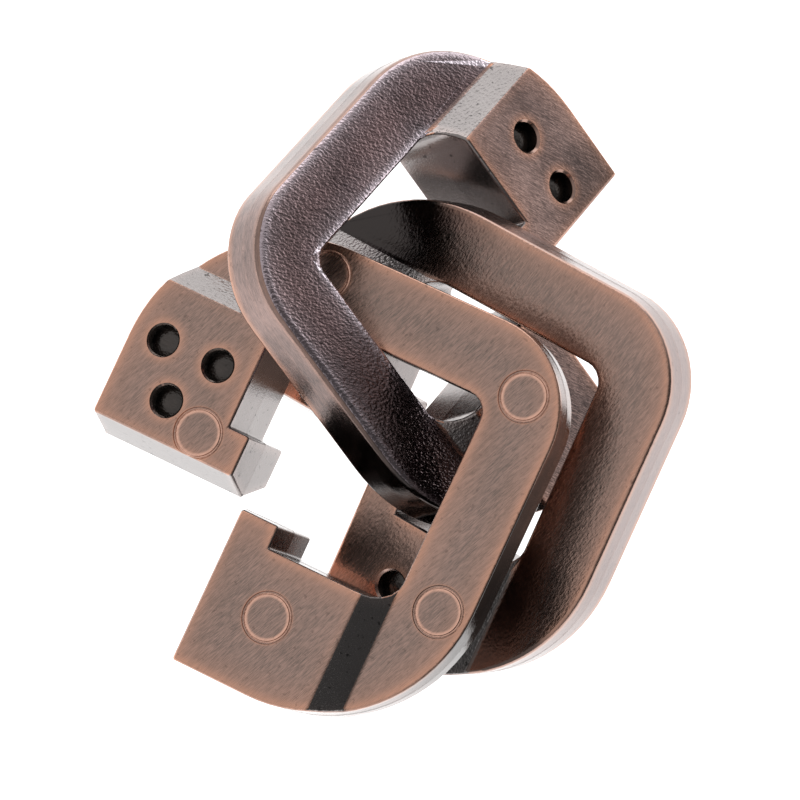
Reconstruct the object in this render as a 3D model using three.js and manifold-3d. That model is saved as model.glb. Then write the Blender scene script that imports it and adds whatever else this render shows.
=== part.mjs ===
// A metal ring disentanglement puzzle: three loose links of cast zinc alloy, threaded through
// each other as a short chain. Every link is the same casting, a rounded square with one corner
// missing. Two thick end blocks stand on either side of the missing corner, each with a small
// hook on its inner side and a wedge-shaped end, and a slope leads from each block down to the
// thinner bars. One, two or three round dimples in an end block tell the links apart.
// Units are millimetres and +Z is up.
import * as THREE from 'three';
import { mergeVertices } from 'three/addons/utils/BufferGeometryUtils.js';
import Module from 'manifold-3d';

const wasm = await Module();
wasm.setup();

// ---- driving dimensions of one link --------------------------------------------------
// A link is drawn centred on its square, with the missing corner at -X -Y.
const HALF = 21; // half of the square's outside width
const BAR_WIDTH = 7.5; // the two bars that meet opposite the missing corner
const BAR_HALF = 2.45; // half of the bars' thickness
const BLOCK_WIDTH = 13.25; // the two end blocks
const BLOCK_HALF = 5.1; // half of the blocks' thickness
const SLOPE_START = 7.5; // where a slope leaves the bar, from the bar's outer side
const SLOPE_END = 10; // where it reaches the block's full thickness
const HOOK_START = 20.1; // where the hook steps inwards, from the same side
const HOOK_DEPTH = 2.3; // how far the hook stands in from the block
const END_FACE = 24.1; // where the wedge-shaped end begins on the block's face
const END_RIDGE = 25.7; // where the wedge comes to its ridge, at mid-thickness
const CORNER_FAR = 9.2; // outer radius opposite the missing corner
const CORNER_SIDE = 16; // outer radius of the two corners beside the blocks
const FILLET_FAR = 2; // inner fillet opposite the missing corner
const FILLET_SIDE = 2.5; // inner fillets beside the blocks
const EDGE = 0.35; // chamfer on the edges of the faces
const CORNER_STEPS = 14; // straight pieces in a rounded corner
const ROOM_OVER = 0.1; // how far a block's room reaches past its sides
const CUTTER_OVER = 0.3; // how far the wedge cutter reaches past a block's sides
const OVER = 1; // how far a cutting solid reaches out of the metal

// ---- dimples ----------------------------------------------------------------------
const DIMPLE_RADIUS = 1.5;
const DIMPLE_DEPTH = 1.3;
const DIMPLE_STEPS = 24;
const DIMPLE_LINE = -14.2; // X of the block's middle line
const DIMPLES_ONE = [[DIMPLE_LINE, 3.6]];
const DIMPLES_TWO = [[DIMPLE_LINE, 6.6], [DIMPLE_LINE, 0.4]];
const DIMPLES_THREE = [[-17.5, 5.75], [-11.4, 5.75], [-14.6, 0.7]];

function toManifold(geometry) {
  const bare = geometry.clone();
  bare.deleteAttribute('normal');
  bare.deleteAttribute('uv');
  const merged = mergeVertices(bare, 1e-4);
  return new wasm.Manifold(new wasm.Mesh({
    numProp: 3,
    vertProperties: Float32Array.from(merged.attributes.position.array),
    triVerts: Uint32Array.from(merged.index.array),
  }));
}

function toGeometry(manifold) {
  const { vertProperties, triVerts } = manifold.getMesh();
  const geometry = new THREE.BufferGeometry();
  geometry.setAttribute('position', new THREE.BufferAttribute(Float32Array.from(vertProperties), 3));
  geometry.setIndex(new THREE.BufferAttribute(Uint32Array.from(triVerts), 1));
  geometry.computeVertexNormals();
  return geometry;
}

// The outline of a link seen from above, followed clockwise from the first block's outer corner.
function linkOutline() {
  const blockInner = -HALF + BLOCK_WIDTH;
  const hookInner = blockInner + HOOK_DEPTH;
  const barInner = HALF - BAR_WIDTH;
  const step = HALF - HOOK_START;
  const tip = HALF - END_RIDGE;
  const far = HALF - CORNER_FAR;
  const side = HALF - CORNER_SIDE;
  const filletFar = barInner - FILLET_FAR;
  const filletBlock = blockInner + FILLET_SIDE;
  const filletBar = barInner - FILLET_SIDE;
  const s = new THREE.Shape();
  s.moveTo(-HALF, tip);
  s.lineTo(-HALF, side);
  s.absarc(-side, side, CORNER_SIDE, Math.PI, Math.PI / 2, true);
  s.lineTo(far, HALF);
  s.absarc(far, far, CORNER_FAR, Math.PI / 2, 0, true);
  s.lineTo(HALF, -side);
  s.absarc(side, -side, CORNER_SIDE, 0, -Math.PI / 2, true);
  s.lineTo(tip, -HALF);
  s.lineTo(tip, hookInner);
  s.lineTo(step, hookInner);
  s.lineTo(step, blockInner);
  s.absarc(filletBar, filletBlock, FILLET_SIDE, -Math.PI / 2, 0, false);
  s.absarc(filletFar, filletFar, FILLET_FAR, 0, Math.PI / 2, false);
  s.absarc(filletBlock, filletBar, FILLET_SIDE, Math.PI / 2, Math.PI, false);
  s.lineTo(blockInner, step);
  s.lineTo(hookInner, step);
  s.lineTo(hookInner, tip);
  s.closePath();
  return s;
}

// The outline as a flat plate of the given half thickness, with chamfered edges.
function plate(halfThickness) {
  const geometry = new THREE.ExtrudeGeometry(linkOutline(), {
    depth: 2 * (halfThickness - EDGE),
    curveSegments: CORNER_STEPS,
    bevelEnabled: true,
    bevelThickness: EDGE,
    bevelSize: EDGE,
    bevelOffset: -EDGE,
    bevelSegments: 1,
  });
  return toManifold(geometry.translate(0, 0, EDGE - halfThickness));
}

// A side profile, given as run and height, drawn out across the first block. The run is
// measured from the bar's outer side towards the missing corner.
function acrossFirstBlock(profile, margin) {
  const width = BLOCK_WIDTH + HOOK_DEPTH + 2 * margin;
  const shape = new THREE.Shape(profile.map(([run, height]) => new THREE.Vector2(run, height)));
  const geometry = new THREE.ExtrudeGeometry(shape, { depth: width, bevelEnabled: false });
  const axes = new THREE.Matrix4().makeBasis(
    new THREE.Vector3(0, -1, 0),
    new THREE.Vector3(0, 0, 1),
    new THREE.Vector3(-1, 0, 0),
  );
  axes.setPosition(-HALF + width - margin, HALF, 0);
  return toManifold(geometry.applyMatrix4(axes));
}

// The same solid on the second block: the link is symmetric about its diagonal.
function onSecondBlock(manifold) {
  const turned = toGeometry(manifold);
  turned.applyMatrix4(new THREE.Matrix4().makeRotationAxis(new THREE.Vector3(1, 1, 0).normalize(), Math.PI));
  return toManifold(turned);
}

// The room that one block may fill: it rises along the slope and stays full to past the end.
function blockRoom() {
  const past = END_RIDGE + OVER;
  return acrossFirstBlock([
    [SLOPE_START, -BAR_HALF], [SLOPE_END, -BLOCK_HALF], [past, -BLOCK_HALF],
    [past, BLOCK_HALF], [SLOPE_END, BLOCK_HALF], [SLOPE_START, BAR_HALF],
  ], ROOM_OVER);
}

// What is taken off past a block's end to leave the wedge.
function endCutter() {
  const lead = END_FACE - (OVER * (END_RIDGE - END_FACE)) / BLOCK_HALF;
  const high = BLOCK_HALF + OVER;
  const past = END_RIDGE + 2 * OVER;
  return acrossFirstBlock([
    [lead, -high], [past, -high], [past, high], [lead, high], [END_RIDGE, 0],
  ], CUTTER_OVER);
}

function dimple([x, y], side) {
  const depth = DIMPLE_DEPTH + OVER;
  const geometry = new THREE.CylinderGeometry(DIMPLE_RADIUS, DIMPLE_RADIUS, depth, DIMPLE_STEPS);
  geometry.rotateX(Math.PI / 2);
  geometry.translate(x, y, side * (BLOCK_HALF - DIMPLE_DEPTH + depth / 2));
  return toManifold(geometry);
}

// One link. The dimples are on the upper face when side is 1 and on the lower one when it is -1.
function linkGeometry(dimples, side) {
  const rooms = blockRoom().add(onSecondBlock(blockRoom()));
  let body = plate(BAR_HALF).add(plate(BLOCK_HALF).intersect(rooms));
  body = body.subtract(endCutter()).subtract(onSecondBlock(endCutter()));
  for (const place of dimples) body = body.subtract(dimple(place, side));
  return toGeometry(body);
}

function metal(color, roughness) {
  return new THREE.MeshStandardMaterial({ color, roughness, metalness: 1 });
}

// ---- how the three links lie, threaded through each other --------------------------
// The turn is in degrees, first about Z, then the new Y, then the new X; the place is the
// middle of the link's square.
const LIE_ONE = { turn: [65.4, -21.4, 156.9], place: [5.4, -4.85, 13.05] };
const LIE_TWO = { turn: [-126.8, -27.9, 151.7], place: [6.35, 9.25, 14.95] };
const LIE_THREE = { turn: [-27.7, -15.2, 9.5], place: [-7.4, -9.6, 18.4] };

function link(name, dimples, side, color, lie) {
  const [aboutZ, aboutY, aboutX] = lie.turn.map(THREE.MathUtils.degToRad);
  const mesh = new THREE.Mesh(linkGeometry(dimples, side), metal(color, 0.35));
  mesh.name = name;
  mesh.rotation.set(aboutX, aboutY, aboutZ, 'ZYX');
  mesh.position.set(...lie.place);
  return mesh;
}

const part = new THREE.Group();
part.add(link('link_one_dot', DIMPLES_ONE, -1, 0x80584a, LIE_ONE));
part.add(link('link_two_dots', DIMPLES_TWO, -1, 0x5d4540, LIE_TWO));
part.add(link('link_three_dots', DIMPLES_THREE, 1, 0x8a6253, LIE_THREE));
export default part;
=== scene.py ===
# %% [markdown]
# # Three threaded puzzle links
# The puzzle is three loose castings of zinc alloy with an antique copper finish, threaded
# through each other as a short chain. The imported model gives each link's exact place. Here
# every link is modelled again with the rounded edges, moulding marks and worn finish of the
# real casting, and takes the place of its plain stand-in.

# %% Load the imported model
from math import radians

import bpy
from mathutils import Euler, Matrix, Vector


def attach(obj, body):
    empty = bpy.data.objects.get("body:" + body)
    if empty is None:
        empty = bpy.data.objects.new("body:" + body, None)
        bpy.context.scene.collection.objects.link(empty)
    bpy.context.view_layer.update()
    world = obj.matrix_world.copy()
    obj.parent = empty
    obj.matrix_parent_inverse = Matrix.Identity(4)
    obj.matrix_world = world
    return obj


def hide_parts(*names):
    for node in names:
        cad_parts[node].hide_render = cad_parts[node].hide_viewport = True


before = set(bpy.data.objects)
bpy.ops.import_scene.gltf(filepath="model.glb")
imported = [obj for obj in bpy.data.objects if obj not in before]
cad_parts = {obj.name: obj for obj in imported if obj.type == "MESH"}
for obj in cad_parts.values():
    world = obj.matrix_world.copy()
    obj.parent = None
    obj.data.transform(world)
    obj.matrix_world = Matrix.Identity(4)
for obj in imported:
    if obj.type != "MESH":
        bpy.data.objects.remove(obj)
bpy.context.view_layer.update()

# %% [markdown]
# ## Measures
# All three links come from one mould, so one set of measures serves them all. A link is drawn
# lying flat and centred on its square, with the missing corner towards -X and -Y. Two bars meet
# opposite the missing corner; the other two sides are the thick end blocks.

# %% Measures of one link
MM = 0.001
HALF = 21 * MM
BAR_WIDTH = 7.5 * MM
BAR_HALF = 2.45 * MM
BLOCK_WIDTH = 13.25 * MM
BLOCK_HALF = 5.1 * MM
SLOPE_RUN = 2.5 * MM
STEP = 0.9 * MM
HOOK_DEPTH = 2.3 * MM
RIDGE = -4.7 * MM
WEDGE_SET_BACK = 1.6 * MM
CORNER_FAR = 9.2 * MM
CORNER_SIDE = 16 * MM
FILLET_FAR = 2 * MM
FILLET_SIDE = 2.5 * MM
ROUNDING = 0.55 * MM
BLOCK_INNER = BLOCK_WIDTH - HALF
BAR_INNER = HALF - BAR_WIDTH
SPARE = 2 * MM
TOUCH = MM / 100
BIG_CORNER_STEPS = 20
FAR_CORNER_STEPS = 14
FILLET_STEPS = 5
print("a link is", round(2 * HALF / MM, 1), "mm across")
print("its blocks are", round(2 * BLOCK_HALF / MM, 1), "mm thick")

# %% [markdown]
# ## Small habits for modelling
# Blender's operators act on whatever is selected, so each step starts by clearing the
# selection. A slab is the start of every piece here; rounding its upright edges and cutting one
# solid with another are the two moves that are needed again and again.

# %% Helpers for slabs, rounded corners and cuts
def pick_only(piece):
    if bpy.context.object and bpy.context.object.mode != "OBJECT":
        bpy.ops.object.mode_set(mode="OBJECT")
    bpy.ops.object.select_all(action="DESELECT")
    bpy.context.view_layer.objects.active = piece
    piece.select_set(True)


def slab(name, low, high):
    bpy.ops.object.select_all(action="DESELECT")
    low, high = Vector(low), Vector(high)
    bpy.ops.mesh.primitive_cube_add(size=1, location=(low + high) / 2, scale=high - low)
    piece = bpy.context.object
    piece.name = name
    bpy.ops.object.transform_apply(location=True, rotation=True, scale=True)
    return piece


def select_where(piece, kind, test):
    """In edit mode: select only the vertices, edges or faces that pass the test."""
    pick_only(piece)
    bpy.ops.object.mode_set(mode="EDIT")
    bpy.ops.mesh.select_mode(type=kind)
    bpy.ops.mesh.select_all(action="DESELECT")
    bpy.ops.object.mode_set(mode="OBJECT")
    mesh = piece.data
    parts = {"VERT": mesh.vertices, "EDGE": mesh.edges, "FACE": mesh.polygons}[kind]
    for part in parts:
        part.select = bool(test(part, mesh))
    count = sum(part.select for part in parts)
    bpy.ops.object.mode_set(mode="EDIT")
    return count


def round_upright(piece, x, y, radius, steps):
    """Round the upright edge that stands at x, y."""
    def upright(edge, mesh):
        ends = [mesh.vertices[i].co for i in edge.vertices]
        return all(abs(p.x - x) < TOUCH and abs(p.y - y) < TOUCH for p in ends)

    select_where(piece, "EDGE", upright)
    bpy.ops.mesh.bevel(offset=radius, offset_type="OFFSET", segments=steps, profile=0.5, affect="EDGES")
    bpy.ops.object.mode_set(mode="OBJECT")


def cut(piece, tool):
    """Take the tool's solid away from the piece, and put the tool away."""
    pick_only(piece)
    step = piece.modifiers.new("cut", "BOOLEAN")
    step.operation = "DIFFERENCE"
    step.solver = "EXACT"
    step.object = tool
    bpy.ops.object.modifier_apply(modifier=step.name)
    bpy.data.objects.remove(tool)


print("helpers ready: slab, round_upright, cut")

# %% [markdown]
# ## The outline of the casting
# The link starts as a square slab, as thick as the end blocks. Its three outer corners are
# rounded: a tight one opposite the opening and two generous ones. Then the window is cut out of
# it, with the two small hooks kept back, and last the missing corner. Cutting with a shaped
# tool keeps every inside corner as clean as the mould made it.

# %% Cut the outline
blank = slab("link_blank", (-HALF, -HALF, -BLOCK_HALF), (HALF, HALF, BLOCK_HALF))
round_upright(blank, HALF, HALF, CORNER_FAR, FAR_CORNER_STEPS)
round_upright(blank, -HALF, HALF, CORNER_SIDE, BIG_CORNER_STEPS)
round_upright(blank, HALF, -HALF, CORNER_SIDE, BIG_CORNER_STEPS)

TALL = BLOCK_HALF + SPARE
window = slab("window_tool", (BLOCK_INNER, BLOCK_INNER, -TALL), (BAR_INNER, BAR_INNER, TALL))
round_upright(window, BAR_INNER, BAR_INNER, FILLET_FAR, FILLET_STEPS)
round_upright(window, BLOCK_INNER, BAR_INNER, FILLET_SIDE, FILLET_STEPS)
round_upright(window, BAR_INNER, BLOCK_INNER, FILLET_SIDE, FILLET_STEPS)
HOOK_INNER = BLOCK_INNER + HOOK_DEPTH
HIGHER = TALL + SPARE
cut(window, slab("hook_one", (BLOCK_INNER - SPARE, RIDGE, -HIGHER), (HOOK_INNER, STEP, HIGHER)))
cut(window, slab("hook_two", (RIDGE, BLOCK_INNER - SPARE, -HIGHER), (STEP, HOOK_INNER, HIGHER)))
cut(blank, window)
cut(blank, slab("missing_corner", (-HALF - SPARE, -HALF - SPARE, -TALL), (RIDGE, RIDGE, TALL)))
print("outline cut:", len(blank.data.polygons), "faces")

# %% [markdown]
# ## Thinner bars and the slopes
# Only the end blocks have the full thickness. The bars are about half as thick, and a short
# slope of roughly 45 degrees leads down to them. A flat tool with a tapered well in it shaves
# the bars from above, and its mirror image from below. The well's tapered walls become the slopes.

# %% Shave the bars
def well(side):
    """A column that narrows away from the middle plane, for the blocks to stand in."""
    slant = SLOPE_RUN / (BLOCK_HALF - BAR_HALF)
    near, far = MM, BLOCK_HALF + 2 * SPARE
    low, high = sorted((side * near, side * far))
    outside = -HALF - 2 * SPARE
    column = slab("well", (outside, outside, low), (BAR_INNER, BAR_INNER, high))
    for axis, value in ((0, (1, 0, 0)), (1, (0, 1, 0))):
        for height in (near, far):
            shift = (BAR_HALF - height) * slant

            def at_wall(vertex, mesh):
                return vertex.co[axis] > 0 and abs(vertex.co.z - side * height) < TOUCH

            select_where(column, "VERT", at_wall)
            bpy.ops.transform.translate(value=Vector(value) * shift)
            bpy.ops.object.mode_set(mode="OBJECT")
    beside = HOOK_INNER + MM / 10
    cut(column, slab("beside_blocks", (beside, beside, -2 * TALL), (HALF, HALF, 2 * TALL)))
    return column


for side in (1, -1):
    low, high = sorted((side * BAR_HALF, side * TALL))
    past = HALF + SPARE
    shaving = slab("shaving", (-past, -past, low), (past, past, high))
    cut(shaving, well(side))
    cut(blank, shaving)
print("bars shaved:", len(blank.data.polygons), "faces")

# %% [markdown]
# ## Wedge-shaped ends
# Each block ends in a shallow wedge with its ridge at mid-thickness, where the two halves of
# the mould met. Cutting the mesh at its middle plane makes the ridge, and pulling back the
# edges above and below it makes the wedge.

# %% Pull the ends back into wedges
def split_across(piece, axis, at):
    """A flat cut right through the mesh, at one height along X, Y or Z (0, 1 or 2)."""
    select_where(piece, "FACE", lambda face, mesh: True)
    plane = [float(index == axis) for index in range(3)]
    bpy.ops.mesh.bisect(plane_co=[at * share for share in plane], plane_no=plane)
    bpy.ops.object.mode_set(mode="OBJECT")


split_across(blank, 2, 0)
for axis, value in ((1, (0, 1, 0)), (0, (1, 0, 0))):
    def end_edge(vertex, mesh):
        at_end = abs(vertex.co[axis] - RIDGE) < TOUCH and vertex.co[1 - axis] < HOOK_INNER + MM / 10
        return at_end and abs(vertex.co.z) > MM

    moved = select_where(blank, "VERT", end_edge)
    bpy.ops.transform.translate(value=Vector(value) * WEDGE_SET_BACK)
    bpy.ops.object.mode_set(mode="OBJECT")
    print("end", axis, "moved", moved, "corners")

# %% [markdown]
# ## Rounded edges
# Brushing leaves the edges of a rubbed face fairly crisp, while bars that were only tumbled
# keep the soft edges of the casting. One bevel modifier can do both, because it reads a weight
# from every edge: a low weight gives a narrow rounding and a full weight a wide one. The many
# small steps of the big corners are too shallow to count as edges.

# %% Weigh the edges and round them
SOFT_ROUNDING = 0.8 * MM
ROUNDING_STEPS = 4
CRISP = 0.36
SHORT_EDGE = 0.26 * MM
EDGE_ANGLE = radians(24)
FLAT_ANGLE = radians(0.5)


def tidy(piece, merge=MM / 500, join_flats=False):
    """Merge points that nearly touch, join flat faces if asked, and turn the faces outward."""
    pick_only(piece)
    bpy.ops.object.mode_set(mode="EDIT")
    bpy.ops.mesh.select_all(action="SELECT")
    bpy.ops.mesh.remove_doubles(threshold=merge)
    if join_flats:
        bpy.ops.mesh.dissolve_limited(angle_limit=FLAT_ANGLE)
    bpy.ops.mesh.normals_make_consistent(inside=False)
    bpy.ops.object.mode_set(mode="OBJECT")


def round_edges(piece, soft_side, soft_weight):
    """Round the sharp edges; those of the bars on the soft side get the wider rounding."""
    pick_only(piece)
    bpy.ops.object.mode_set(mode="EDIT")
    bpy.ops.mesh.select_mode(type="EDGE")
    bpy.ops.mesh.select_all(action="DESELECT")
    bpy.ops.mesh.edges_select_sharp(sharpness=EDGE_ANGLE)
    bpy.ops.transform.edge_bevelweight(value=CRISP)

    bpy.ops.object.mode_set(mode="OBJECT")
    sharp = {edge.index for edge in piece.data.edges if edge.select}

    def at_foot(p, axis):
        beside_bar = p[1 - axis] < BLOCK_INNER + FILLET_SIDE + MM / 10
        return abs(p[axis] - BAR_INNER) < TOUCH and beside_bar and abs(abs(p.z) - BAR_HALF) < TOUCH

    def slope_foot(edge, mesh):
        ends = [mesh.vertices[i].co for i in edge.vertices]
        return any(all(at_foot(p, axis) for p in ends) for axis in (0, 1))

    def soft_edge(edge, mesh):
        ends = [mesh.vertices[i].co for i in edge.vertices]
        on_side = all(abs(p.z - soft_side * BAR_HALF) < TOUCH for p in ends)
        return on_side and edge.index in sharp and not slope_foot(edge, mesh)

    select_where(piece, "EDGE", slope_foot)
    bpy.ops.transform.edge_bevelweight(value=-1)
    select_where(piece, "EDGE", soft_edge)
    bpy.ops.transform.edge_bevelweight(value=soft_weight - CRISP)
    bpy.ops.object.mode_set(mode="OBJECT")
    rounding = piece.modifiers.new("rounding", "BEVEL")
    rounding.width = SOFT_ROUNDING
    rounding.segments = ROUNDING_STEPS
    rounding.limit_method = "WEIGHT"
    rounding.use_clamp_overlap = False
    pick_only(piece)
    bpy.ops.object.modifier_apply(modifier=rounding.name)


tidy(blank, SHORT_EDGE, join_flats=True)
past_fillet = FILLET_SIDE + MM / 3
for axis in (0, 1):
    for at in (BLOCK_INNER + past_fillet, BAR_INNER - past_fillet, BAR_INNER + MM):
        split_across(blank, axis, at)
print("blank ready:", len(blank.data.polygons), "faces")

# %% [markdown]
# ## The parting line
# Where the two halves of the mould met, a fine raised line runs round the walls. Two cuts just
# above and below the middle plane, and one on it, give a loop that can be pushed out by a
# twentieth of a millimetre.

# %% Raise the parting line
LINE_HALF = 0.22 * MM
LINE_RISE = 0.05 * MM


def raise_parting_line(piece):
    for height in (-LINE_HALF, 0, LINE_HALF):
        split_across(piece, 2, height)
    select_where(piece, "VERT", lambda vertex, mesh: abs(vertex.co.z) < MM / 1000)
    bpy.ops.transform.shrink_fatten(value=LINE_RISE)
    bpy.ops.object.mode_set(mode="OBJECT")


# %% [markdown]
# ## Marks that tell the links apart
# One, two or three drilled dimples number the links. Each has a slightly flared mouth, straight
# sides and a flat floor with a small raised pip. The ejector pins of the mould left shallow
# round outlines, all on one side of the casting; a thin ring cut into the face makes one.

# %% Dimple and ejector-mark tools
DIMPLE_RADIUS = 1.5 * MM
DIMPLE_DEPTH = 1.3 * MM
FLARE = 0.22 * MM
MARK_RADIUS = 2.35 * MM
MARK_GROOVE = 0.17 * MM
BLOCK_LINE = -14.2
PIP_INSET = 0.7 * DIMPLE_RADIUS
PIP_RISE = 0.3 * MM
MARKS = [(16.5, 15.2, BAR_HALF), (17.8, -6.3, BAR_HALF), (-6.3, 17.8, BAR_HALF),
         (3.7, -13.6, BLOCK_HALF), (-10.3, -0.8, BLOCK_HALF)]


def dimple_tool(x, y, side):
    """A drill with a flared shoulder; the pip is pushed up in its tip."""
    bpy.ops.object.select_all(action="DESELECT")
    floor = BLOCK_HALF - DIMPLE_DEPTH
    mouth = BLOCK_HALF - FLARE
    bpy.ops.mesh.primitive_cylinder_add(vertices=40, radius=DIMPLE_RADIUS, depth=mouth - floor,
                                        location=(x, y, side * (mouth + floor) / 2))
    tool = bpy.context.object
    bpy.ops.object.transform_apply(location=True, rotation=True, scale=True)
    select_where(tool, "FACE", lambda face, mesh: side * face.normal.z > 0.9)
    bpy.ops.mesh.extrude_region_move(TRANSFORM_OT_translate={"value": (0, 0, side * 2 * FLARE)})
    wider = (DIMPLE_RADIUS + 2 * FLARE) / DIMPLE_RADIUS
    bpy.ops.transform.resize(value=(wider, wider, 1), center_override=(x, y, side * BLOCK_HALF))
    select_where(tool, "FACE", lambda face, mesh: side * face.normal.z < -0.9)
    bpy.ops.mesh.inset(thickness=PIP_INSET)
    bpy.ops.transform.translate(value=(0, 0, side * PIP_RISE))
    bpy.ops.object.mode_set(mode="OBJECT")
    return tool


def mark_tool(x, y, height):
    bpy.ops.object.select_all(action="DESELECT")
    bpy.ops.mesh.primitive_torus_add(major_segments=48, minor_segments=8, major_radius=MARK_RADIUS,
                                     minor_radius=MARK_GROOVE, location=(x, y, height))
    tool = bpy.context.object
    bpy.ops.object.transform_apply(location=True, rotation=True, scale=True)
    return tool


# %% [markdown]
# ## How the links lie
# The three links differ only in their dimples and in how they lie. The turn is in degrees and
# the place in millimetres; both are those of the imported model. Side tells whether the dimples
# are on the face with the ejector marks (1) or on the other one (-1), and soft is the weight
# that the rounding of the bars gets.

# %% Facts of the three links
LINKS = {
    "link_one_dot": {"body": "one_dot_link", "slot": "copper_one",
                     "dots": [(BLOCK_LINE, 3.6)], "side": -1,
                     "turn": (156.9, -21.4, 65.4), "place": (5.4, -4.85, 13.05), "soft": 0.55},
    "link_two_dots": {"body": "two_dot_link", "slot": "copper_two",
                      "dots": [(BLOCK_LINE, 6.6), (BLOCK_LINE, 0.4)], "side": -1,
                      "turn": (151.7, -27.9, -126.8), "place": (6.35, 9.25, 14.95), "soft": 1.0},
    "link_three_dots": {"body": "three_dot_link", "slot": "copper_three",
                        "dots": [(-17.5, 5.75), (-11.4, 5.75), (-14.6, 0.7)], "side": 1,
                        "turn": (9.5, -15.2, -27.7), "place": (-7.4, -9.6, 18.4), "soft": 1.0},
}
print("dimples:", {name: len(facts["dots"]) for name, facts in LINKS.items()})

# %% [markdown]
# ## Which finish goes where
# Faces, bars, outer walls, inner walls, slopes and dimples were each finished in another way.
# Every polygon is sorted by its place and the way it points, which is simple while the link
# still lies flat.

# %% Sort the polygons
FACE, BAR, OUTER, INNER, SLOPE, DIMPLE = range(6)


def region_of(face, dots, side):
    """Which of the six finishes a face takes, while the link still lies flat."""
    c, n = face.center, face.normal
    below_face = FLARE / 2 < BLOCK_HALF - side * c.z < 1.2 * DIMPLE_DEPTH
    if below_face and any((c.xy - Vector(dot) * MM).length < DIMPLE_RADIUS + FLARE for dot in dots):
        return DIMPLE
    if abs(n.z) > 0.8:
        return BAR if abs(c.z) < BAR_HALF + MM / 10 else FACE
    near, far = sorted((c.x, c.y))
    if abs(n.z) > 0.5 and abs(c.z) > BAR_HALF and BAR_INNER - SLOPE_RUN < far < BAR_INNER + ROUNDING:
        return SLOPE
    faces_gap = (n.y if c.x < c.y else n.x) < -0.5 and abs(min(n.x, n.y)) > 0.9
    at_end = near < BLOCK_INNER and far < STEP and faces_gap
    in_window = near > BLOCK_INNER - ROUNDING and far < BAR_INNER + ROUNDING
    return INNER if at_end or in_window else OUTER


print("finishes on a link:", DIMPLE + 1)

# %% [markdown]
# ## Making the links
# Each link is a copy of the blank with its own mesh. Its edges are rounded and it is drilled
# and marked while it still lies flat. Weighted normals keep the big faces looking flat beside
# their rounded edges. Then the link is turned and carried to its place in the chain, and it
# takes over the body and the place of its plain stand-in.

# %% Make the three links
CURVE_ANGLE = radians(35)
pieces = {}
for name, facts in LINKS.items():
    link = blank.copy()
    link.data = blank.data.copy()
    link.name = "cast_" + name
    bpy.context.scene.collection.objects.link(link)
    round_edges(link, -1, facts["soft"])
    raise_parting_line(link)
    for x, y in facts["dots"]:
        cut(link, dimple_tool(x * MM, y * MM, facts["side"]))
    for x, y, height in MARKS:
        cut(link, mark_tool(x * MM, y * MM, height))
    tidy(link)
    for face in link.data.polygons:
        face.material_index = region_of(face, facts["dots"], facts["side"])
    pick_only(link)
    bpy.ops.object.shade_smooth_by_angle(angle=CURVE_ANGLE)
    even = link.modifiers.new("even_shading", "WEIGHTED_NORMAL")
    even.keep_sharp = True
    bpy.ops.object.modifier_apply(modifier=even.name)
    link.rotation_euler = Euler([radians(a) for a in facts["turn"]], "XYZ")
    link.location = Vector(facts["place"]) * MM
    bpy.ops.object.transform_apply(location=True, rotation=True, scale=True)
    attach(link, facts["body"])
    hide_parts(name)
    pieces[name] = link
    print(link.name, len(link.data.polygons), "faces")
bpy.data.objects.remove(blank)

# %% [markdown]
# ## Antique copper
# The plating is bright copper under a dark brown-black patina that has been rubbed away
# again. Three things tell it apart from plain brown metal: bare orange copper along every
# convex edge, fine scratches where the faces were brushed, and a cast grain that stays dark in
# its pits. An occlusion node that looks inside the solid finds the convex edges, because rays
# near an edge soon leave the metal again. Stretched noise makes the brushing.

# %% Shader helpers
def add(tree, kind, inputs=None, **settings):
    """Add a node, set it up and fill its inputs with values or with other nodes' outputs."""
    node = tree.nodes.new(kind)
    for key, value in settings.items():
        setattr(node, key, value)
    for key, value in (inputs or {}).items():
        socket = node.inputs[key]
        if isinstance(value, bpy.types.NodeSocket):
            tree.links.new(value, socket)
        else:
            socket.default_value = value
    return node


def noise(tree, where, scale, detail, rough=0.55):
    return add(tree, "ShaderNodeTexNoise", {"Vector": where, "Scale": scale, "Detail": detail,
                                            "Roughness": rough}).outputs["Fac"]


def span(tree, value, low, high, to_low=0.0, to_high=1.0):
    return add(tree, "ShaderNodeMapRange", {"Value": value, "From Min": low, "From Max": high,
                                            "To Min": to_low, "To Max": to_high}).outputs["Result"]


def spread(tree, pattern, low, high):
    """Noise seldom leaves 0.3 to 0.7, so that part of it is spread over the wanted range."""
    return span(tree, pattern, 0.3, 0.7, low, high)


def sum_of(tree, a, b, operation="ADD"):
    return add(tree, "ShaderNodeMath", {0: a, 1: b}, operation=operation,
               use_clamp=operation == "ADD").outputs[0]


def blend_colour(tree, factor, a, b):
    return add(tree, "ShaderNodeMix", {0: factor, 6: a, 7: b}, data_type="RGBA").outputs[2]


def distance(tree, place, point):
    return add(tree, "ShaderNodeVectorMath", {0: place, 1: point}, operation="DISTANCE").outputs["Value"]


def inside_edge(tree, reach, samples):
    """Occlusion looked at from inside the metal: low near a convex edge and 1 far from it."""
    return add(tree, "ShaderNodeAmbientOcclusion", {"Distance": reach}, inside=True,
               samples=samples).outputs["AO"]


print("shader helpers ready")

# %% [markdown]
# ## Where the pattern lies
# The finish was made on each link before the puzzle was put together, so its strokes have to
# follow the link and not the table. A mapping node carries the place back to the link as it
# lay flat; a second one turns it to the brushing and stretches it, which draws noise out into
# strokes.

# %% Lay the pattern on a link
def place_on_link(tree, lie):
    """Object coordinates carried back to the link as it lay flat."""
    place = add(tree, "ShaderNodeTexCoord").outputs["Object"]
    facts = LINKS[lie]
    return add(tree, "ShaderNodeMapping", {"Vector": place, "Location": Vector(facts["place"]) * MM,
                                           "Rotation": [radians(a) for a in facts["turn"]]},
               vector_type="TEXTURE").outputs[0]


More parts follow.
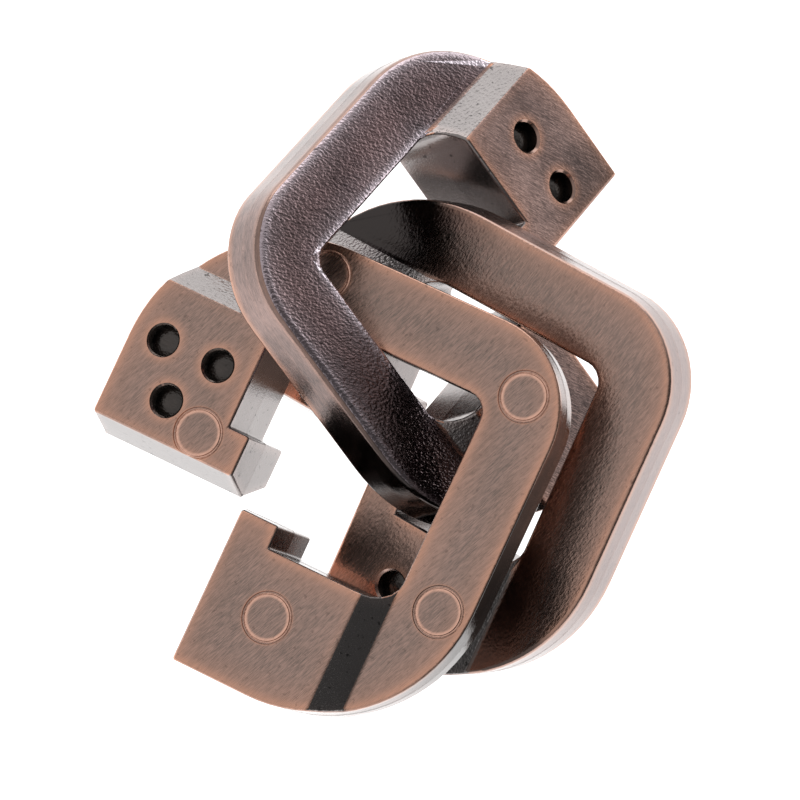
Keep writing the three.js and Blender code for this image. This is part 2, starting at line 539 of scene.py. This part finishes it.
def laid(tree, where, brush_angle, stretch):
    """The place turned to the brushing and stretched across it."""
    turned = add(tree, "ShaderNodeMapping", {"Vector": where, "Rotation": (0, 0, radians(-brush_angle))})
    return add(tree, "ShaderNodeMapping", {"Vector": turned.outputs[0], "Scale": stretch}).outputs[0]


ALONG = 1100.0
ACROSS = 12500.0
PEBBLES = (2600.0, 4200.0, 4200.0)
print("a brush stroke is about", round(1000 / ALONG, 1), "mm long and", round(1000 / ACROSS, 2), "mm wide")

# %% [markdown]
# ## Painted shade and worn rims
# Some spots of a face are painted darker and glossier. They are painted shade and dark reflections where the
# neighbouring links darken that part of the link. The low rims that the ejector pins left are rubbed down to
# bright copper. Both are found by their distance from a point on the link.

# %% Spots of painted shade and rims that were rubbed
RIM_COPPER = (0.85, 0.5, 0.38, 1)
RIM_INSET = 0.2 * MM
RIM_FADE = (0.3 * MM, 0.1 * MM)
PAINTED_SHADE = (0.06, 0.052, 0.05, 1)
SHADE_SPOT_CORE = 0.45
SHADE_SPOT_SWAY = 2 * MM
SHADE_SPOT_GLOSS = 0.12


def paint_shade_spots(tree, place, clouds, spots, colour, roughness):
    # Each spot is painted shade: the colour goes towards the dark shade colour and the roughness drops, for
    # the shade and dark reflections of the neighbouring links.
    for x, y, reach, share in spots:
        away = sum_of(tree, distance(tree, place, (x * MM, y * MM, 0)),
                      spread(tree, clouds, -SHADE_SPOT_SWAY, SHADE_SPOT_SWAY))
        spot = span(tree, away, reach * MM, SHADE_SPOT_CORE * reach * MM, 0.0, share)
        colour = blend_colour(tree, spot, colour, PAINTED_SHADE)
        roughness = sum_of(tree, roughness, sum_of(tree, spot, SHADE_SPOT_GLOSS, "MULTIPLY"), "SUBTRACT")
    return colour, roughness


def rub_rims(tree, place, ragged, rims, colour):
    for x, y, height in rims:
        away = distance(tree, place, (x * MM, y * MM, height))
        off_rim = sum_of(tree, away, MARK_RADIUS - RIM_INSET, "SUBTRACT")
        off_rim = sum_of(tree, off_rim, 0.0, "ABSOLUTE")
        rim = sum_of(tree, span(tree, off_rim, *RIM_FADE), ragged, "MULTIPLY")
        colour = blend_colour(tree, rim, colour, RIM_COPPER)
    return colour


print("rims are rubbed at", round((MARK_RADIUS - RIM_INSET) / MM, 2), "mm from the middle of a mark")

# %% [markdown]
# ## Relief
# The patterns that colour the metal also stand up from it a little. Three bump nodes in a row
# add the brush scratches, the cast grain and the slow waves of a wall that was never machined
# flat. Each takes the bent surface direction of the one before it.

# %% Scratches, grain and waves
SCRATCH_DEPTH = 0.03 * MM
GRAIN_DEPTH = 0.13 * MM
WAVE_DEPTH = 0.3 * MM


def relief(tree, strokes, pebbles, clouds, brush, grain):
    surface = add(tree, "ShaderNodeBump", {"Height": strokes, "Strength": 0.35 * brush,
                                           "Distance": SCRATCH_DEPTH})
    for pattern, strength, depth in ((pebbles, grain, GRAIN_DEPTH), (clouds, 0.15, WAVE_DEPTH)):
        surface = add(tree, "ShaderNodeBump", {"Height": pattern, "Strength": strength, "Distance": depth,
                                               "Normal": surface.outputs[0]})
    return surface.outputs[0]


print("the deepest relief is", round(WAVE_DEPTH / MM, 2), "mm")

# %% [markdown]
# ## The whole finish
# One function makes every copper finish of the links, from the brushed faces to the black
# dimples. The patina and the rubbed copper are blended by the strokes, the bare copper comes in towards the
# edges (on the cast bars a painted highlight instead), and then the spots of painted shade, the rims and the
# pits are laid over them.

# %% The antique copper finish
EDGE_REACH = 1.2 * MM
WARM_REACH = 3.5 * MM
PIT_DARKNESS = 0.3


def antique_copper(name, lie, patina, rubbed, bare_and_sheen, brush_angle=0, brush=1.0, grain=0.2, gloss=0.27,
                   edge=1.0, pitted=0.3, patches=0.12, warm=0.0, around=False, shade_spots=(), rims=()):
    material = bpy.data.materials.new(name)
    material.use_nodes = True
    tree = material.node_tree
    shader = tree.nodes["Principled BSDF"]
    shader.inputs["Metallic"].default_value = 1.0

    place = place_on_link(tree, lie)
    fine = (ALONG, ALONG, ACROSS) if around else (ALONG, ACROSS, ACROSS)
    broad = tuple(v / 3.5 for v in fine)
    strokes = noise(tree, laid(tree, place, brush_angle, fine), 1.0, 4.0, 0.65)
    long_strokes = noise(tree, laid(tree, place, brush_angle, broad), 1.0, 3.0)
    pebbles = noise(tree, laid(tree, place, brush_angle, PEBBLES), 1.0, 1.5, 0.5)
    clouds = noise(tree, place, 110.0, 3.0)
    pits = noise(tree, place, 1900.0, 2.0, 0.5)

    rub = span(tree, strokes, 0.36, 0.66, 0.5 - 0.5 * brush, 0.5 + 0.5 * brush)
    rub = sum_of(tree, rub, spread(tree, long_strokes, -0.1 * brush, 0.1 * brush))
    rub = sum_of(tree, rub, spread(tree, clouds, -patches, patches))
    colour = blend_colour(tree, rub, patina, rubbed)
    # A wider band in the edge colour: warmer copper on brushed faces, a painted highlight on the cast bars.
    if warm:
        near = span(tree, inside_edge(tree, WARM_REACH, 6), 1.0, 0.55, 0.0, warm)
        colour = blend_colour(tree, near, colour, bare_and_sheen)
    ragged = spread(tree, long_strokes, 0.6, 1.1)
    # Bare copper along convex edges. In the cast colours the edge colour is a painted highlight instead.
    near_edge = span(tree, inside_edge(tree, EDGE_REACH, 8), 0.97, 0.58)
    wear_and_sheen = sum_of(tree, sum_of(tree, near_edge, ragged, "MULTIPLY"), edge, "MULTIPLY")
    colour = blend_colour(tree, wear_and_sheen, colour, bare_and_sheen)

    roughness = spread(tree, strokes, gloss - 0.05, gloss + 0.08)
    # Spots of painted shade, where the neighbouring links darken the link.
    colour, roughness = paint_shade_spots(tree, place, clouds, shade_spots, colour, roughness)
    colour = rub_rims(tree, place, ragged, rims, colour)
    pit_colour = [PIT_DARKNESS * v for v in patina[:3]] + [1]
    colour = blend_colour(tree, span(tree, pits, 0.34, 0.28, 0.0, pitted), colour, pit_colour)
    tree.links.new(colour, shader.inputs["Base Color"])
    tree.links.new(roughness, shader.inputs["Roughness"])
    tree.links.new(relief(tree, strokes, pebbles, clouds, brush, grain), shader.inputs["Normal"])
    return material


print("bare copper reaches", round(EDGE_REACH / MM, 1), "mm in from an edge")

# %% [markdown]
# ## Colours of the finishes
# Each finish has three colours: the dark patina that is left low down, the metal where it was
# rubbed, and the bare edge. Brushed faces are the warmest, the cast bars lean to lilac, and
# the plated walls between the blocks are almost grey. The edge colour of the cast bars is a near-white
# painted highlight: the white table reflected in their soft edges. The darker wall colours are painted
# shade and dark reflections of the neighbouring links.

# %% Colours
COPPER_EDGE = (0.68, 0.36, 0.25, 1)
WALL_EDGE = (0.5, 0.28, 0.2, 1)
COLOURS = {
    "brushed": dict(patina=(0.2, 0.155, 0.135, 1), rubbed=(0.47, 0.31, 0.26, 1), bare_and_sheen=COPPER_EDGE),
    "dull": dict(patina=(0.14, 0.105, 0.1, 1), rubbed=(0.47, 0.32, 0.285, 1), bare_and_sheen=COPPER_EDGE),
    # The cast edge colour is a near-white lilac painted highlight: the white table reflected in the soft
    # edges of the bars.
    "cast": dict(patina=(0.07, 0.055, 0.058, 1), rubbed=(0.3, 0.2, 0.2, 1), bare_and_sheen=(0.85, 0.75, 0.82, 1)),
    "satin": dict(patina=(0.2, 0.172, 0.17, 1), rubbed=(0.32, 0.25, 0.235, 1), bare_and_sheen=WALL_EDGE),
    # A darker copy of the satin wall colours: painted shade and dark reflections of the neighbouring links.
    "shaded_wall": dict(patina=(0.09, 0.078, 0.076, 1), rubbed=(0.3, 0.215, 0.195, 1), bare_and_sheen=WALL_EDGE),
    "plated": dict(patina=(0.185, 0.17, 0.167, 1), rubbed=(0.26, 0.24, 0.235, 1), bare_and_sheen=(0.4, 0.33, 0.31, 1)),
    "black": dict(patina=(0.03, 0.027, 0.025, 1), rubbed=(0.1, 0.09, 0.085, 1), bare_and_sheen=(0.3, 0.2, 0.16, 1)),
}
print("colour sets:", sorted(COLOURS))

# %% [markdown]
# ## Finishes of each link
# The faces of two links were brushed flat, each in its own direction. The two-dot link was
# only tumbled: its faces are duller and its bars keep the grain of the mould. Walls are
# smoother and were brushed round the link. A spot of painted shade is given by its place on the link,
# its reach and how dark it is.

# %% Choose and give the finishes
walls = dict(around=True, brush=0.6, grain=0.06)
brushed = dict(COLOURS["brushed"], brush=0.9, warm=0.35)
# Outer walls of the two- and three-dot links, painted darker to show the shade and dark reflections of their
# neighbours.
shaded_wall = dict(COLOURS["shaded_wall"], gloss=0.17, patches=0.3, **walls)
satin = dict(COLOURS["satin"], gloss=0.2, **walls)
plated = dict(COLOURS["plated"], brush=0.2, grain=0.1, gloss=0.2, edge=0.5, pitted=0.85)
slope = dict(plated, grain=0.5, gloss=0.22)
pocket = dict(COLOURS["black"], brush=0.3, grain=0.4, gloss=0.2, edge=0.6)
# The cast bars get their painted lilac highlight along the edges and, more weakly, in a wider band.
cast_bar = dict(COLOURS["cast"], brush_angle=50, brush=0.4, grain=0.7, patches=0.3, gloss=0.17, edge=1.2,
                pitted=0.6, warm=0.15, shade_spots=[(17, -12, 12, 0.55)])
one = dict(brushed, brush_angle=15, gloss=0.22, shade_spots=[(16.5, -15.5, 14, 1.0), (-13.6, 13.6, 10, 0.9)])
two = dict(COLOURS["dull"], brush_angle=60, brush=0.9, warm=0.25, gloss=0.24, patches=0.4,
           shade_spots=[(-19, -5, 9, 0.6)])
three = dict(brushed, brush_angle=65, rims=MARKS)
# The big spots on the two darker outer walls are painted shade as well.
FINISHES = {
    "link_one_dot": [one, one, satin, plated, slope, pocket],
    "link_two_dots": [two, cast_bar, dict(shaded_wall, shade_spots=[(19, -14, 17, 1.0)]), plated, slope, pocket],
    "link_three_dots": [three, three, dict(shaded_wall, shade_spots=[(21, -2, 16, 1.0)]), plated, slope, pocket],
}
REGIONS = ("face", "bar", "outer_wall", "inner_wall", "slope", "dimple")
for name, finishes in FINISHES.items():
    link = pieces[name]
    for region, facts in zip(REGIONS, finishes):
        link.data.materials.append(antique_copper(name + "_" + region, name, **facts))
    print(name, "finishes:", [m.name for m in link.data.materials])

# %% [markdown]
# ## Floor, light and camera
# The links lie on a white table that glows, inside an evenly bright room. Polished metal shows
# what stands round it, so the brightness of the room in each direction matters more than any
# lamp: one dark corner gives the slopes and walls that face it their deep tone, and one lamp
# at the back brightens the rest. The camera looks almost straight down with a long lens.

# %% Floor
TABLE_SIZE = 4
TABLE_GAP = 0.1 * MM
bpy.ops.object.select_all(action="DESELECT")
bpy.ops.mesh.primitive_plane_add(size=TABLE_SIZE, location=(0, 0, -TABLE_GAP))
table = bpy.context.object
table.name = "table_top"
paper = bpy.data.materials.new("white_light_table")
paper.use_nodes = True
top = paper.node_tree.nodes["Principled BSDF"]
top.inputs["Base Color"].default_value = (0.5, 0.5, 0.5, 1)
top.inputs["Roughness"].default_value = 0.9
top.inputs["Emission Color"].default_value = (1, 1, 1, 1)
top.inputs["Emission Strength"].default_value = 1.5
table.data.materials.append(paper)
print(table.name, "is", TABLE_SIZE, "m across")

# %% Light from all round, with one dark corner
DARK_CORNER = (0.75, -0.433, 0.5)
BRIGHT = 0.75
DIM = 0.12
CORNER_STARTS = 0.5
CORNER_CORE = 0.9
scene = bpy.context.scene
world = bpy.data.worlds.new("studio")
world.use_nodes = True
scene.world = world
tree = world.node_tree
way = add(tree, "ShaderNodeTexCoord").outputs["Generated"]
toward = add(tree, "ShaderNodeVectorMath", {0: way, 1: DARK_CORNER}, operation="DOT_PRODUCT").outputs["Value"]
strength = span(tree, toward, CORNER_STARTS, CORNER_CORE, BRIGHT, DIM)
tree.links.new(strength, tree.nodes["Background"].inputs["Strength"])
tree.nodes["Background"].inputs["Color"].default_value = (1, 1, 1, 1)


LAMP_AIM = Vector((0, 0, 12)) * MM


def lamp(name, place, size, watts):
    light = bpy.data.lights.new(name, "AREA")
    light.shape = "RECTANGLE"
    light.size, light.size_y = size
    light.energy = watts
    holder = bpy.data.objects.new(name, light)
    scene.collection.objects.link(holder)
    holder.location = place
    holder.rotation_euler = (LAMP_AIM - Vector(place)).to_track_quat("-Z", "Y").to_euler()


lamp("back_window", (0.05, 0.7, 0.12), (0.7, 0.3), 1.1)

# %% Camera
LEAN_BACK = 9.83
LEAN_SIDE = -0.99
AIM = Vector((1.08, -1.21, 12.35)) * MM
AWAY = 460 * MM
lens = bpy.data.cameras.new("camera")
lens.lens = 215.3
lens.sensor_width = 36
lens.clip_start = 0.01
lens.clip_end = 20
camera = bpy.data.objects.new("camera", lens)
scene.collection.objects.link(camera)
camera.rotation_euler = (radians(LEAN_BACK), radians(LEAN_SIDE), 0)
look = camera.rotation_euler.to_matrix() @ Vector((0, 0, -1))
camera.location = AIM - look * AWAY
scene.camera = camera
scene.view_settings.view_transform = "Standard"
print("camera at", [round(v, 4) for v in camera.location])
